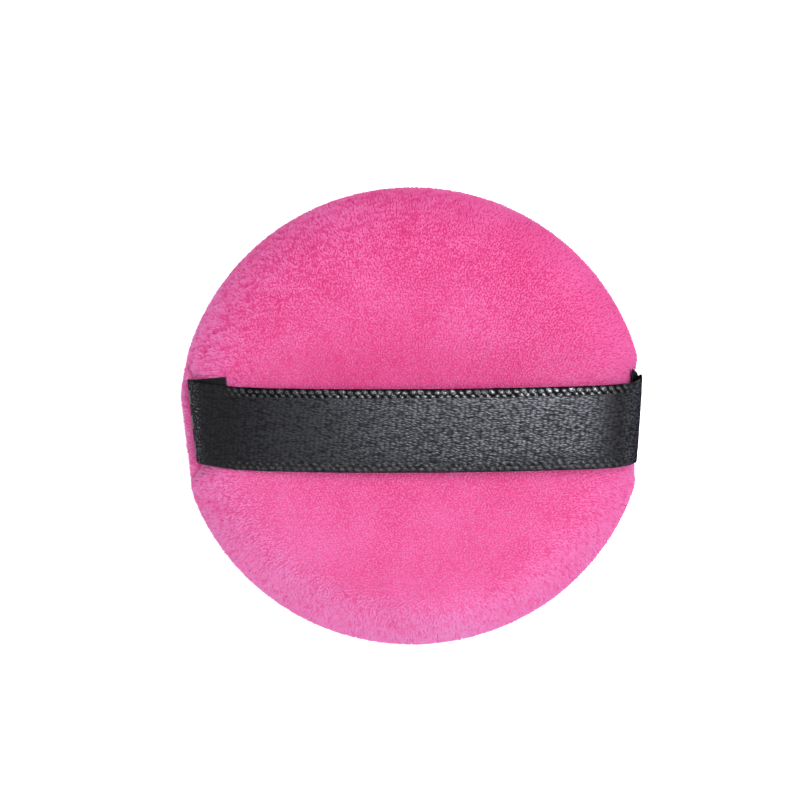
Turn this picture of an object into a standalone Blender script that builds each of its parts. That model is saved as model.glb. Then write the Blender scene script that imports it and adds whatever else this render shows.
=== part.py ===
"""Powder puff: two velour panels sewn round a foam disc, with a satin ribbon strap across the back.

The frame has its origin in the middle of the flat powder face. +X runs along the strap, +Z points out of the
back, where the strap is, and everything is in metres.
"""

import math

import bmesh
import bpy
import numpy as np
from mathutils import Matrix

MM = 0.001
DEGREE = math.radians(1)
SIDES = ((-1, "left"), (1, "right"))  # along X

# Outline of the puff, seen from above
MEAN_RADIUS = 40.5 * MM
OVALNESS = 0.27 * MM  # longer than round along the strap, shorter across it
HOLD_POWER = 14  # how sharply the rim turns from round to flat beside a strap end

# Heights
THICKNESS = 15.4 * MM
SEAM_HEIGHT = 7.6 * MM  # the plane in which the two panels meet
RIM_HEIGHT = 1.5 * MM  # from the seam plane to the widest ring of either panel
FACE_REACH = 6.6 * MM  # the powder side would be this deep below its widest ring if it weren't flat
BACK_SQUARENESS = 3.2  # 2 is an ellipse, and more is flatter with a tighter shoulder
FACE_SQUARENESS = 4.0

# Velour panels
WALL = 1.3 * MM
LAP = 0.9 * MM  # thickness of a panel's seam allowance
LAP_DEPTH = 4.6 * MM  # how far the allowance reaches in from the crease
CREASE_DEPTH = 1.3 * MM  # how far the seam lies inside the round rim
LIP = (0.7, 0.35)  # the bend above the crease: share of the way out to the rim, and of the way up to it
GAP = 0.3 * MM  # between pieces that touch

# Where the strap ends hold the rim flat: half the angle that is held, and for each end the distance of the
# straight part from the middle and its lean, which is its shift along X per unit of Y
BACK_HELD = {"half_angle": 13.9 * DEGREE, "left": (37.1 * MM, 0.102), "right": (38.2 * MM, 0.058)}
FACE_HELD = {"half_angle": 24 * DEGREE, "left": (40.2 * MM, 0.112), "right": (38.75 * MM, -0.038)}
CREASE_HELD = {"half_angle": 13.9 * DEGREE, "left": (37.35 * MM, 0.102), "right": (37.2 * MM, 0.058)}

# Threads
STITCHES = 48
CLOSED_BY_HAND = range(32, 41)  # the stitches of the gap through which the foam goes in
THREAD = 0.15 * MM  # radius
THREAD_GAP = 0.12 * MM
STITCH_INSET = 0.75 * MM  # from the fold of the allowance to the stitch line
LOOP_HALF = 0.42 * MM  # half the width of a loop where it enters its hole
LOOP_FOOT_HALF = 0.2 * MM
NEEDLE_HOLE = (0.6 * MM, 1.3 * MM, 4.0 * MM)  # across the seam, along it, and deep
HAND_TAIL = 1.2 * MM  # loose end of the closing thread

# Foam
FOAM_GROOVE_HALF = 1.95 * MM  # half the height of the groove that the allowances fill
FOAM_LIP = 0.5 * MM
FOAM_RECESS = 1.0 * MM  # where the tacks come through the back panel

# Ribbon
RIBBON_WIDTH = 14.4 * MM
RIBBON = 0.36 * MM  # thickness
STRAP_END = {"left": -0.31 * MM, "right": 0.3 * MM}  # Y of the ribbon's middle at each fold
ASKEW = [(-38, -0.31), (-30, -0.7), (-20, -0.5), (6, -0.25), (33, 0.2), (40, 0.3)]  # and between them, mm
RIBBON_HALF = RIBBON / 2
TAIL_LIFT = GAP + RIBBON_HALF  # from the panel to the middle of the folded-under layer
STRAP_LIFT = TAIL_LIFT + RIBBON + GAP
FOLD_DROP = 0.6 * MM  # from the back panel's widest ring down to the fold
SPLIT_LEFT = -24.0 * MM
SPLIT_RIGHT = 34.0 * MM
ARCH = [(-28.5, 15.9), (-24, 17.6), (-15, 19.4), (-5, 20.35), (8, 20.7), (20, 20.5), (29, 19.85), (34, 18.7),
        (37.2, 16.6), (38.9, 13.9)]  # middle of the raised strap, x and z in millimetres
LEFT_TAIL = [(49.5, 0.0), (57, 0.0), (68, 0.0), (79, 0.0), (90, 0.0)]  # degrees round the shoulder, and
RIGHT_TAIL = [(72, 0.45), (78, 0.25), (84, 0.08), (90, 0.0)]  # millimetres that it stands off the panel
LEFT_SHOULDER = [(90, 0.0), (80, 0.0), (70, 0.0), (60, 0.0)]
RIGHT_SHOULDER = [(78, 0.9), (90, 0.02)]
LEAN_FADES = 6.0 * MM  # distance from a leaning fold over which the strap comes square
TAIL_TURN = {"left": 0.18, "right": 0.48}  # the folded-under layer's shift along Y per unit of its length

# Tacks that hold the folded ends to the back panel
TACK_HOLES = 6
TACK_PITCH = 2.2 * MM
TACK_HEIGHT = 10.6 * MM
TACK_HOLE = 0.27 * MM  # radius
TACK_HOLE_DEPTH = 8.0 * MM
TACK_TAIL = 0.9 * MM

# Fineness of the meshes
COLUMNS = 80
COLUMN_CROWDING = 0.26  # brings the columns closer together at the strap ends
OUTER_RINGS = 8
INNER_RINGS = 6
FOAM_RINGS = 5
HOLE_SIDES = 6
STRAP_STEPS = 3  # pieces of each stretch of the strap's curve
TAIL_STEPS = 2
FOLD_POINTS = 6
SHARP_ANGLE = 40 * DEGREE


def material(name, color, roughness, metallic=0.0):
    made = bpy.data.materials.new(name)
    made.use_nodes = True
    shader = made.node_tree.nodes["Principled BSDF"]
    shader.inputs["Base Color"].default_value = (*color, 1)
    shader.inputs["Roughness"].default_value = roughness
    shader.inputs["Metallic"].default_value = metallic
    return made


def add_object(name, data, finish=None):
    made = bpy.data.objects.new(name, data)
    if finish:
        data.materials.append(finish)
    bpy.context.scene.collection.objects.link(made)
    return made


def add_mesh(name, bm, finish=None):
    """An object from a bmesh, with its faces turned outwards and its round parts smooth."""
    if bm.calc_volume(signed=True) < 0:
        bmesh.ops.reverse_faces(bm, faces=bm.faces)
    mesh = bpy.data.meshes.new(name)
    bm.to_mesh(mesh)
    bm.free()
    mesh.shade_smooth()
    mesh.set_sharp_from_angle(angle=SHARP_ANGLE)
    return add_object(name, mesh, finish)


def cut(target, cutter):
    boolean = target.modifiers.new("holes", "BOOLEAN")
    boolean.operation = "DIFFERENCE"
    boolean.solver = "EXACT"
    boolean.object = cutter


def cutter_object(name, bm):
    made = add_mesh(name, bm)
    made.hide_render = True
    made.display_type = "WIRE"
    return made


def round_radius(angle):
    return MEAN_RADIUS + OVALNESS * math.cos(2 * angle)


def angle_between(angle, other):
    """Unsigned angle between two directions."""
    return abs((angle - other + math.pi) % (2 * math.pi) - math.pi)


def hold(angle, side, word, half_angle):
    """1 under the strap end at side, which is -1 or 1 along X, falling to 0 beside it."""
    strap_angle = math.atan2(STRAP_END[word], side * MEAN_RADIUS)
    return 1 / (1 + (angle_between(angle, strap_angle) / half_angle) ** HOLD_POWER)


def held_outline(angle, radius, held):
    """A round outline that becomes a straight line along each strap end's fold."""
    for side, word in SIDES:
        held_at, lean = held[word]
        normal = np.array((side, -lean))
        normal /= np.linalg.norm(normal)
        distance = normal @ (side * held_at, STRAP_END[word])
        from_normal = angle_between(angle, math.atan2(normal[1], normal[0]))
        across = distance / math.cos(min(from_normal, 45 * DEGREE))
        radius += hold(angle, side, word, held["half_angle"]) * min(across - radius, 0)
    return radius


def back_radius(angle):
    return held_outline(angle, round_radius(angle), BACK_HELD)


def face_radius(angle):
    return held_outline(angle, round_radius(angle), FACE_HELD)


def crease_radius(angle):
    return held_outline(angle, round_radius(angle) - CREASE_DEPTH, CREASE_HELD)


def fold_radius(angle, panel_radius):
    """Inner side of the bend where a panel turns in to its allowance."""
    return min(panel_radius(angle) - WALL, crease_radius(angle) - LAP) - GAP


def stitch_radius(angle):
    return min(fold_radius(angle, back_radius), fold_radius(angle, face_radius)) - STITCH_INSET


def dome(radius, reach, squareness, turn):
    """Superellipse: distance from the axis and height above the widest ring, at turn from the axis."""
    return radius * math.sin(turn) ** (2 / squareness), reach * math.cos(turn)


def panel_profile(angle, radius_of, side, reach, squareness, floor, turns):
    """Closed outline of a panel's wall, from the middle of its outside round the seam to its inside.

    side is 1 for the back and -1 for the powder side, and floor is how deep the outside goes at most.
    """
    radius = radius_of(angle)
    crease = crease_radius(angle)
    folded = fold_radius(angle, radius_of)
    points = []
    for turn in turns(OUTER_RINGS):
        out, up = dome(radius, reach, squareness, turn)
        points.append((out, RIM_HEIGHT + min(up, floor)))
    points.append((crease + LIP[0] * (radius - crease), LIP[1] * RIM_HEIGHT))
    points.append((crease, GAP / 2))
    points.append((crease - LAP_DEPTH, GAP / 2))
    points.append((crease - LAP_DEPTH, GAP / 2 + LAP))
    points.append((folded, GAP / 2 + LAP))
    for turn in reversed(turns(INNER_RINGS)):
        out, up = dome(radius - WALL, reach - WALL, squareness, turn)
        points.append((out, RIM_HEIGHT + min(up, floor - WALL)))
    return [(out, SEAM_HEIGHT + side * up) for out, up in points]


def back_turns(rings):
    return [90 * DEGREE * ring / rings for ring in range(rings + 1)]


def face_turns(rings):
    """The first ring lies where the powder side stops being flat."""
    flat = math.acos((SEAM_HEIGHT - RIM_HEIGHT) / FACE_REACH)
    return [0.0] + [flat + (90 * DEGREE - flat) * ring / (rings - 1) for ring in range(rings)]


BACK_REACH = THICKNESS - SEAM_HEIGHT - RIM_HEIGHT
FACE_FLOOR = SEAM_HEIGHT - RIM_HEIGHT


def back_profile(angle):
    return panel_profile(angle, back_radius, 1, BACK_REACH, BACK_SQUARENESS, BACK_REACH, back_turns)


def face_profile(angle):
    return panel_profile(angle, face_radius, -1, FACE_REACH, FACE_SQUARENESS, FACE_FLOOR, face_turns)


def foam_half(angle, radius, reach, squareness, floor):
    """Outline of half the foam: the dome, its lip, and the groove's wall."""
    inside = WALL + GAP
    last = math.acos((FOAM_GROOVE_HALF + FOAM_LIP - RIM_HEIGHT) / (reach - inside))
    points = []
    for ring in range(FOAM_RINGS + 1):
        out, up = dome(radius - inside, reach - inside, squareness, last * ring / FOAM_RINGS)
        points.append((out, RIM_HEIGHT + min(up, floor - inside)))
    points.append((points[-1][0], FOAM_GROOVE_HALF))
    points.append((crease_radius(angle) - LAP_DEPTH - GAP, FOAM_GROOVE_HALF))
    return points


def foam_profile(angle):
    recess = sum(hold(angle, side, word, BACK_HELD["half_angle"]) for side, word in SIDES) * FOAM_RECESS
    back = foam_half(angle, back_radius(angle) - recess, BACK_REACH, BACK_SQUARENESS, BACK_REACH)
    face = foam_half(angle, face_radius(angle), FACE_REACH, FACE_SQUARENESS, FACE_FLOOR)
    upper = [(out, SEAM_HEIGHT + up) for out, up in back]
    lower = [(out, SEAM_HEIGHT - up) for out, up in reversed(face)]
    return upper + lower


def turned(profile):
    """A closed body from an outline that starts and ends on the axis and changes with the angle."""
    bm = bmesh.new()
    columns = []
    for column in range(COLUMNS):
        even = 2 * math.pi * column / COLUMNS
        angle = even - COLUMN_CROWDING * math.sin(2 * even)
        outline = profile(angle)
        columns.append([bm.verts.new((out * math.cos(angle), out * math.sin(angle), up))
                        for out, up in outline[1:-1]])
    first = bm.verts.new((0, 0, outline[0][1]))
    last = bm.verts.new((0, 0, outline[-1][1]))
    for here, beside in zip(columns, columns[1:] + columns[:1]):
        bm.faces.new((first, here[0], beside[0]))
        for ring in range(len(here) - 1):
            bm.faces.new((here[ring], here[ring + 1], beside[ring + 1], beside[ring]))
        bm.faces.new((last, beside[-1], here[-1]))
    return bm


def stitch_angle(stitch):
    return 2 * math.pi * (stitch + 0.5) / STITCHES


def seam_point(stitch, along, height):
    """A place on the stitch line: distance along the seam from a stitch, and height over the seam plane."""
    angle = stitch_angle(stitch)
    radius = stitch_radius(angle)
    return (radius * math.cos(angle) - along * math.sin(angle),
            radius * math.sin(angle) + along * math.cos(angle),
            SEAM_HEIGHT + height)


RUN_HEIGHT = GAP / 2 + LAP + THREAD_GAP + THREAD  # a thread that lies on the allowance


def add_thread(name, points, finish):
    """A thread as a square tube with closed ends."""
    curve = bpy.data.curves.new(name, "CURVE")
    curve.dimensions = "3D"
    curve.bevel_depth = THREAD
    curve.bevel_resolution = 0  # four sides
    curve.use_fill_caps = True
    spline = curve.splines.new("POLY")
    spline.points.add(len(points) - 1)
    spline.points.foreach_set("co", [value for point in points for value in (*point, 1.0)])
    return add_object(name, curve, finish)


def machine_thread(name, side, finish):
    """Lies on one allowance and dips into each hole, where it meets the loop of the other thread."""
    after_gap = CLOSED_BY_HAND.stop
    points = []
    for step in range(STITCHES - len(CLOSED_BY_HAND)):
        stitch = after_gap + step
        foot = GAP / 2 + THREAD
        points.append(seam_point(stitch, -LOOP_HALF, side * RUN_HEIGHT))
        points.append(seam_point(stitch, -LOOP_FOOT_HALF, side * foot))
        points.append(seam_point(stitch, LOOP_FOOT_HALF, side * foot))
        points.append(seam_point(stitch, LOOP_HALF, side * RUN_HEIGHT))
    return add_thread(name, points, finish)


def hand_thread(name, finish):
    """A running stitch that goes through both allowances at each hole of the gap."""
    points = [seam_point(CLOSED_BY_HAND.start, -HAND_TAIL, RUN_HEIGHT)]
    side = 1
    for stitch in CLOSED_BY_HAND:
        points.append(seam_point(stitch, 0, side * RUN_HEIGHT))
        points.append(seam_point(stitch, 0, -side * RUN_HEIGHT))
        side = -side
    points.append(seam_point(CLOSED_BY_HAND[-1], HAND_TAIL, side * RUN_HEIGHT))
    return add_thread(name, points, finish)


def needle_holes():
    """One narrow slot through both allowances for each stitch."""
    bm = bmesh.new()
    for stitch in range(STITCHES):
        place = Matrix.Translation(seam_point(stitch, 0, 0)) @ Matrix.Rotation(stitch_angle(stitch), 4, "Z")
        bmesh.ops.create_cube(bm, size=1, matrix=place @ Matrix.Diagonal((*NEEDLE_HOLE, 1)))
    return cutter_object("needle_holes", bm)


def on_shoulder(degrees, lift, held_at):
    """A point lifted square off the back panel's shoulder: distance from the middle, and height."""
    turn = degrees * DEGREE
    out, up = dome(held_at, BACK_REACH, BACK_SQUARENESS, turn)
    slope = held_at * (2 / BACK_SQUARENESS) * math.sin(turn) ** (2 / BACK_SQUARENESS - 1) * math.cos(turn)
    normal = np.array((BACK_REACH * math.sin(turn), slope))
    normal /= np.linalg.norm(normal)
    return np.array((out, SEAM_HEIGHT + RIM_HEIGHT + up)) + lift * normal


def smooth_path(points, steps):
    """Points on a Catmull-Rom curve through the given ones."""
    points = np.array(points)
    padded = np.vstack([2 * points[0] - points[1], points, 2 * points[-1] - points[-2]])
    path = []
    for before, here, there, after in zip(padded, padded[1:], padded[2:], padded[3:]):
        for t in np.arange(steps) / steps:
            path.append(0.5 * (2 * here + (there - before) * t
                               + (2 * before - 5 * here + 4 * there - after) * t**2
                               + (3 * here - before - 3 * there + after) * t**3))
    return np.array(path + [points[-1]])


def fold_arc(held_at, side):
    """Half circle that joins the folded-under layer to the strap, below the widest ring."""
    radius = (STRAP_LIFT - TAIL_LIFT) / 2
    middle = held_at + (STRAP_LIFT + TAIL_LIFT) / 2
    height = SEAM_HEIGHT + RIM_HEIGHT - FOLD_DROP
    turns = np.linspace(0, math.pi, FOLD_POINTS)
    return np.stack([side * (middle - radius * np.cos(turns)), height - radius * np.sin(turns)], axis=1)


def shoulder_points(places, lift, held_at, side):
    """Points on a strap end's shoulder from (degrees, extra millimetres) pairs."""
    found = [on_shoulder(degrees, lift + extra * MM, held_at) for degrees, extra in places]
    return [(side * out, up) for out, up in found]


def between(path, low, high):
    """The stretch of the strap's middle line between two places in X, with exact ends."""
    inner = path[(path[:, 0] > low) & (path[:, 0] < high)]
    ends = [(x, float(np.interp(x, path[:, 0], path[:, 1]))) for x in (low, high)]
    return np.vstack([ends[0], inner, ends[1]])


def strap_line():
    """Middle line of the strap from the left fold's shoulder over the arch to the right one."""
    left = shoulder_points(LEFT_SHOULDER, STRAP_LIFT, BACK_HELD["left"][0], -1)
    right = shoulder_points(RIGHT_SHOULDER, STRAP_LIFT, BACK_HELD["right"][0], 1)
    arch = [(x * MM, z * MM) for x, z in ARCH]
    return smooth_path(left + arch + right, STRAP_STEPS)


def strap_middle(x):
    """Y of the middle of the strap's width."""
    places = np.array(ASKEW) * MM
    return float(np.interp(x, places[:, 0], places[:, 1]))


def ribbon(name, path, finish, lean, upright):
    """A strip of ribbon along a middle line in X and Z.

    lean gives each point's sideways shift along X for each unit of width and its place along Y. upright
    lists the ends, 0 or -1, whose cut is vertical.
    """
    along = np.gradient(path, axis=0)
    normal = np.stack([-along[:, 1], along[:, 0]], axis=1)
    normal /= np.linalg.norm(normal, axis=1, keepdims=True)
    for end in upright:
        normal[end] = (0, 1 / normal[end][1])
    bm = bmesh.new()
    sections = []
    for point, off, (skew, middle) in zip(path, normal, lean):
        corners = []
        for across, face in ((-1, -1), (1, -1), (1, 1), (-1, 1)):
            width = across * RIBBON_WIDTH / 2
            x, z = point + face * RIBBON_HALF * off
            corners.append(bm.verts.new((x - skew * width, middle + width, z)))
        sections.append(corners)
    for here, beyond in zip(sections, sections[1:]):
        for corner in range(4):
            after = (corner + 1) % 4
            bm.faces.new((here[corner], here[after], beyond[after], beyond[corner]))
    bm.faces.new(sections[0][::-1])
    bm.faces.new(sections[-1])
    return add_mesh(name, bm, finish)


def strap_end(name, side, word, tail_places, line, finish):
    """The folded-under layer, the fold, and the strap up to where the raised part starts."""
    held_at, lean = BACK_HELD[word]
    tail = smooth_path(shoulder_points(tail_places, TAIL_LIFT, held_at, side), TAIL_STEPS)
    fold = fold_arc(held_at, side)
    strap = line if side < 0 else line[::-1]
    to_fold = np.linalg.norm(np.diff(np.vstack([tail, fold[:1]]), axis=0), axis=1)[::-1].cumsum()[::-1]
    leans = [(-side * lean, STRAP_END[word] + TAIL_TURN[word] * length) for length in to_fold]
    leans += [(-side * lean, STRAP_END[word])] * len(fold)
    for x, _ in strap:
        fade = min(abs(x - fold[-1][0]) / LEAN_FADES, 1.0)
        leans.append((-side * lean * (1 - fade), strap_middle(x)))
    return ribbon(name, np.vstack([tail, fold, strap]), finish, leans, upright=(-1,))


def tack_places(word):
    """Where the holes of one tack lie along Y."""
    return [STRAP_END[word] + (hole - (TACK_HOLES - 1) / 2) * TACK_PITCH for hole in range(TACK_HOLES)]


def tack_holes(name, side, word):
    """Round holes along X through both layers of ribbon and the back panel."""
    bm = bmesh.new()
    lying = Matrix.Rotation(90 * DEGREE, 4, "Y")
    for y in tack_places(word):
        place = Matrix.Translation((side * BACK_HELD[word][0], y, TACK_HEIGHT)) @ lying
        bmesh.ops.create_cone(bm, segments=HOLE_SIDES, radius1=TACK_HOLE, radius2=TACK_HOLE,
                              depth=TACK_HOLE_DEPTH, cap_ends=True, matrix=place)
    return cutter_object(name, bm)


def tack_thread(name, side, word, strap_x, finish):
    """Runs on the ribbon between every other pair of holes, and behind the panel between the rest."""
    held_at, lean = BACK_HELD[word]
    up = math.acos((TACK_HEIGHT - SEAM_HEIGHT - RIM_HEIGHT) / (BACK_REACH - WALL))
    wall_inside, _ = dome(held_at - WALL, BACK_REACH - WALL, BACK_SQUARENESS, up)
    inside = wall_inside - 2 * GAP - THREAD
    outside = abs(strap_x) + RIBBON_HALF + THREAD_GAP + THREAD
    places = tack_places(word)

    def place(from_middle, y):
        return side * (from_middle + lean * (y - STRAP_END[word])), y, TACK_HEIGHT

    points = [place(inside, places[0] - TACK_TAIL)]
    for number, y in enumerate(places):
        ends = [place(inside, y), place(outside, y)]
        points += ends if number % 2 == 0 else ends[::-1]
    points.append(place(inside, places[-1] + TACK_TAIL))
    return add_thread(name, points, finish)


def main():
    for old in list(bpy.data.objects):
        bpy.data.objects.remove(old, do_unlink=True)

    velour = material("velour", (0.87, 0.118, 0.352), 0.9)
    satin = material("satin_ribbon", (0.022, 0.02, 0.024), 0.35)
    foam = material("foam", (0.92, 0.9, 0.84), 0.95)
    pink_thread = material("pink_thread", (0.8, 0.1, 0.3), 0.6)
    black_thread = material("black_thread", (0.02, 0.02, 0.022), 0.5)

    back = add_mesh("back_cover", turned(back_profile), velour)
    face = add_mesh("face_cover", turned(face_profile), velour)
    add_mesh("foam_core", turned(foam_profile), foam)
    holes = needle_holes()
    cut(back, holes)
    cut(face, holes)
    machine_thread("seam_needle_thread", 1, pink_thread)
    machine_thread("seam_bobbin_thread", -1, pink_thread)
    hand_thread("closing_thread", pink_thread)

    line = strap_line()
    span = between(line, SPLIT_LEFT + GAP, SPLIT_RIGHT - GAP)
    ribbon("strap_span", span, satin, [(0.0, strap_middle(x)) for x, _ in span], upright=(0, -1))
    peak = len(line) // 2
    left_line = np.vstack([line[:peak][line[:peak, 0] < SPLIT_LEFT], span[:1] - (GAP, 0)])
    right_line = np.vstack([span[-1:] + (GAP, 0), line[peak:][line[peak:, 0] > SPLIT_RIGHT]])
    for (side, word), tail, stretch in zip(SIDES, (LEFT_TAIL, RIGHT_TAIL), (left_line, right_line)):
        end = strap_end(f"strap_{word}_end", side, word, tail, stretch, satin)
        cutter = tack_holes(f"tack_holes_{word}", side, word)
        cut(end, cutter)
        cut(back, cutter)
        rising = stretch[np.argsort(stretch[:, 1])]
        strap_x = np.interp(TACK_HEIGHT, rising[:, 1], rising[:, 0])
        tack_thread(f"strap_tack_{word}", side, word, strap_x, black_thread)


main()
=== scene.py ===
# Powder puff: two pink velour panels sewn round a foam disc, with a black satin ribbon across the back.
import math

import bpy
import numpy as np
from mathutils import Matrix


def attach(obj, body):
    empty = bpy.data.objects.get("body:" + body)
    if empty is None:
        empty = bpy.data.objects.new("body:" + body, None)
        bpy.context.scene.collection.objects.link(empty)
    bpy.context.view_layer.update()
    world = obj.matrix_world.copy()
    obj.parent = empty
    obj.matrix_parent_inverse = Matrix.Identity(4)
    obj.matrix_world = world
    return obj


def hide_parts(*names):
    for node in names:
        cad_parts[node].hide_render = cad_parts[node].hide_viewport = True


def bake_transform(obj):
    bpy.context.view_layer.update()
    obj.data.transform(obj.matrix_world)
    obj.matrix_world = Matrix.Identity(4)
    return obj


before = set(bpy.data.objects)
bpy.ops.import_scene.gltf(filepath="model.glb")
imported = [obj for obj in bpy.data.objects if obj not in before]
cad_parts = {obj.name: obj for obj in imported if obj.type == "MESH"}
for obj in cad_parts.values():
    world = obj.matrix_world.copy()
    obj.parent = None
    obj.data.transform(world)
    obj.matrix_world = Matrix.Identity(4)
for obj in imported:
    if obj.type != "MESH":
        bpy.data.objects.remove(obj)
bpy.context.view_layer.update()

mm = 0.001
degree = math.pi / 180

# The shape that every piece follows, with the sizes of the CAD solids. Side -1 is left and 1 is right.
# held gives the half angle that a strap end draws in, and at each side the straight part's distance and lean.
puff = {
    "meanRadius": 40.5 * mm,
    "ovalness": 0.27 * mm,
    "seamHeight": 7.6 * mm,
    "rimHeight": 1.5 * mm,  # from the seam plane to the widest ring of either panel
    "creaseDepth": 1.3 * mm,
    "holdPower": 14,
    "creaseHeld": {"angle": 13.9 * degree, -1: (37.35 * mm, 0.102), 1: (37.2 * mm, 0.058)},
    "strapEnd": {-1: -0.31 * mm, 1: 0.3 * mm},  # Y of the ribbon's middle at each fold
    "wall": 1.3 * mm,
    "lap": 0.9 * mm,
    "lapDepth": 4.6 * mm,
    "gap": 0.3 * mm,
}
rimLevel = puff["seamHeight"] + puff["rimHeight"]
backPanel = {
    "side": 1,
    "reach": 6.3 * mm,
    "squareness": 3.2,
    "floor": 6.3 * mm,
    "held": {"angle": 13.9 * degree, -1: (37.1 * mm, 0.102), 1: (38.2 * mm, 0.058)},
}
facePanel = {
    "side": -1,
    "reach": 6.6 * mm,
    "squareness": 4.0,
    "floor": 6.1 * mm,
    "held": {"angle": 24 * degree, -1: (40.2 * mm, 0.112), 1: (38.75 * mm, -0.038)},
}


# Numbers and noise

def joined(*arrays):
    # A new last axis with one place for each array.
    return np.stack(arrays, axis=-1)


def smoothStep(low, high, value):
    # 0 below low, 1 above high, and 3t^2 - 2t^3 between them.
    t = np.clip((value - low) / (high - low), 0, 1)
    return t * t * (3 - 2 * t)


def valueNoise(x, y, size, seed):
    # Random values from -1 to 1 at whole steps of a size, blended between them with 3t^2 - 2t^3 in x and in y.
    table = np.random.default_rng(seed).uniform(-1, 1, (256, 256))
    x, y = x / size[0], y / size[1]
    left = np.floor(x).astype(int)
    low = np.floor(y).astype(int)
    tx = smoothStep(0, 1, x - left)
    ty = smoothStep(0, 1, y - low)
    near, far = (table[left % 256, row % 256] * (1 - tx) + table[(left + 1) % 256, row % 256] * tx
                 for row in (low, low + 1))
    return near * (1 - ty) + far * ty


def unit(vectors):
    # Each vector divided by its own length.
    return vectors / np.maximum(np.linalg.norm(vectors, axis=-1, keepdims=True), 1e-12)


def runLength(points):
    # Distance along a line of points to each of them: the sum of the steps before it.
    return np.concatenate([[0], np.cumsum(np.linalg.norm(np.diff(points, axis=0), axis=-1))])


def fromAxis(out, angle, height):
    # Points at out * cos(angle), out * sin(angle) and height.
    return joined(out * np.cos(angle), out * np.sin(angle), height)


# Meshes

def addObject(name, data):
    made = bpy.data.objects.new(name, data)
    bpy.context.scene.collection.objects.link(made)
    return made


def makePiece(name, points, quads, triangles=None, quadUv=None, triangleUv=None, values=None):
    # A mesh from whole arrays: points, faces of four and of three corners, a bake map and point attributes.
    triangles = np.empty((0, 3), int) if triangles is None else triangles
    corners = np.concatenate([quads.ravel(), triangles.ravel()]).astype(np.int32)
    sizes = np.concatenate([np.full(len(quads), 4), np.full(len(triangles), 3)])
    mesh = bpy.data.meshes.new(name)
    mesh.vertices.add(len(points))
    mesh.vertices.foreach_set("co", points.astype(np.float32).ravel())
    mesh.loops.add(len(corners))
    mesh.loops.foreach_set("vertex_index", corners)
    mesh.polygons.add(len(sizes))
    mesh.polygons.foreach_set("loop_start", np.concatenate([[0], np.cumsum(sizes)[:-1]]).astype(np.int32))
    mesh.update(calc_edges=True)
    if quadUv is not None:
        parts = [quadUv.reshape(-1, 2)] + ([] if triangleUv is None else [triangleUv.reshape(-1, 2)])
        layer = mesh.uv_layers.new(name="OFBake")
        layer.data.foreach_set("uv", np.concatenate(parts).astype(np.float32).ravel())
    for word, value in (values or {}).items():
        kind = "FLOAT" if value.ndim == 1 else "FLOAT_VECTOR"
        attribute = mesh.attributes.new(word, kind, "POINT")
        attribute.data.foreach_set("value" if value.ndim == 1 else "vector", value.astype(np.float32).ravel())
    mesh.shade_smooth()
    return addObject(name, mesh)


def gridQuads(rows, columns, closed=False):
    # Corner numbers of the faces of a grid whose points run along a row first. closed joins last to first column.
    row, column = np.meshgrid(np.arange(rows - 1), np.arange(columns if closed else columns - 1), indexing="ij")
    beside = (column + 1) % columns
    near, far = row * columns, (row + 1) * columns
    return joined(near + column, near + beside, far + beside, far + column).reshape(-1, 4)


def tubeFaces(rows, columns):
    # Faces of a closed grid, and triangles from its first and last row to the two points that come after it.
    around = np.arange(columns)
    beside = (around + 1) % columns
    last = (rows - 1) * columns
    pole = np.full(columns, rows * columns)
    ends = [joined(pole, beside, around), joined(pole + 1, last + around, last + beside)]
    return gridQuads(rows, columns, closed=True), np.concatenate(ends)


def finish(made, body, slot, material, *nodes):
    # Gives a piece its material and body, and hides the solids that it stands for; slot is not used.
    made.data.materials.append(material)
    if body:
        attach(made, body)
    if nodes:
        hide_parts(*nodes)
    return made


# Materials

def feed(tree, node, key, value):
    # Links a socket to an input, or sets the input to a value.
    if isinstance(value, bpy.types.NodeSocket):
        tree.links.new(value, node.inputs[key])
    else:
        node.inputs[key].default_value = value


def addNode(tree, kind, inputs=None, **settings):
    # A shader node with its settings, and inputs that are values or sockets.
    node = tree.nodes.new("ShaderNode" + kind)
    for word, value in settings.items():
        setattr(node, word, value)
    for key, value in (inputs or {}).items():
        feed(tree, node, key, value)
    return node


def newMaterial(name, constants):
    # A material whose Principled shader has these constants on its own sockets.
    made = bpy.data.materials.new(name)
    made.use_nodes = True
    shader = made.node_tree.nodes["Principled BSDF"]
    for key, value in constants.items():
        shader.inputs[key].default_value = value
    return made, made.node_tree, shader


def ramp(tree, factor, stops):
    # A colour ramp through (place, colour) stops.
    node = addNode(tree, "ValToRGB", {"Fac": factor})
    elements = node.color_ramp.elements
    while len(elements) < len(stops):
        elements.new(0.5)
    for element, (place, colour) in zip(elements, stops):
        element.position = place
        element.color = (*colour, 1)
    return node.outputs["Color"]


def greyRamp(tree, factor, low, high, least=0.0):
    return ramp(tree, factor, [(low, (least, least, least)), (high, (1, 1, 1))])


def mixColour(tree, factor, *colours):
    first, second = (value if isinstance(value, bpy.types.NodeSocket) else (*value, 1) for value in colours)
    return addNode(tree, "Mix", {0: factor, 6: first, 7: second}, data_type="RGBA").outputs[2]


def calculate(tree, operation, first, second=0.0):
    return addNode(tree, "Math", {0: first, 1: second}, operation=operation).outputs[0]


def times(tree, first, second):
    return calculate(tree, "MULTIPLY", first, second)


def vectorMath(tree, operation, first, second, output="Value"):
    return addNode(tree, "VectorMath", {0: first, 1: second}, operation=operation).outputs[output]


def mapRange(tree, value, low, high, toLow=0.0, toHigh=1.0):
    return addNode(tree, "MapRange", {"Value": value, 1: low, 2: high, 3: toLow, 4: toHigh}).outputs[0]


def attribute(tree, word, output="Fac"):
    return addNode(tree, "Attribute", attribute_name=word).outputs[output]


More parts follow.
